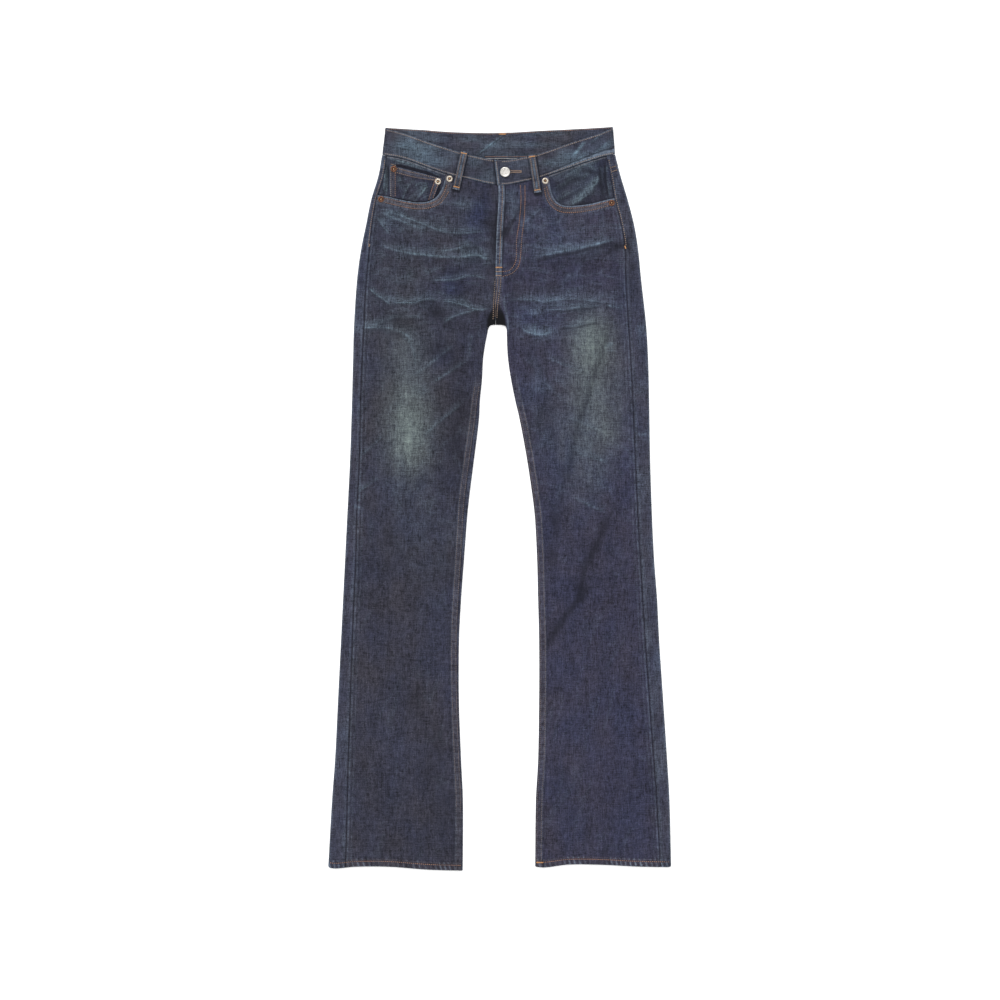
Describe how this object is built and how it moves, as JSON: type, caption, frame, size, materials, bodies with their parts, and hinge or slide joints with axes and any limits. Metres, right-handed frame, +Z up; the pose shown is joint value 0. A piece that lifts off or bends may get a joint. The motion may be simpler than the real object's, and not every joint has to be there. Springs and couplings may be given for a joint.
{
  "type": "pair of bootcut denim jeans",
  "caption": "Dark indigo denim jeans with a mild bootcut, laid flat on their back, with pocket mouths, coin pocket, lapped waistband, belt loops, rivets and a waist button.",
  "frame": {"origin": "centre of the jeans' outline, on the surface that they lie on", "axes": "+Y towards the waist, +Z up out of the front, +X towards the wearer's left side"},
  "size_m": [0.5143, 1.1154, 0.0107],
  "materials": {
    "denim": "washed indigo twill with whiskers and thigh fades",
    "faded_denim": "lighter indigo twill, worn along the edges",
    "silver_metal": "dull nickel",
    "copper_metal": "dull copper"
  },
  "bodies": {
    "root": {"front_right": "denim", "front_left": "denim", "back_right": "denim", "back_left": "denim", "yoke_right": "denim", "yoke_left": "denim", "waistband": "faded_denim", "pocket_facing_right": "faded_denim", "pocket_facing_left": "faded_denim", "coin_pocket": "faded_denim", "belt_loop_front_right": "denim", "belt_loop_front_left": "denim", "belt_loop_back_right": "denim", "belt_loop_back_centre": "denim", "belt_loop_back_left": "denim", "back_pocket_right": "denim", "back_pocket_left": "denim", "rivet_coin_outer": "copper_metal", "rivet_coin_inner": "silver_metal", "rivet_mouth_right_inner": "silver_metal", "rivet_mouth_right_outer": "copper_metal", "rivet_mouth_left_inner": "silver_metal", "rivet_mouth_left_outer": "copper_metal", "button": "silver_metal"}
  },
  "joints": []
}
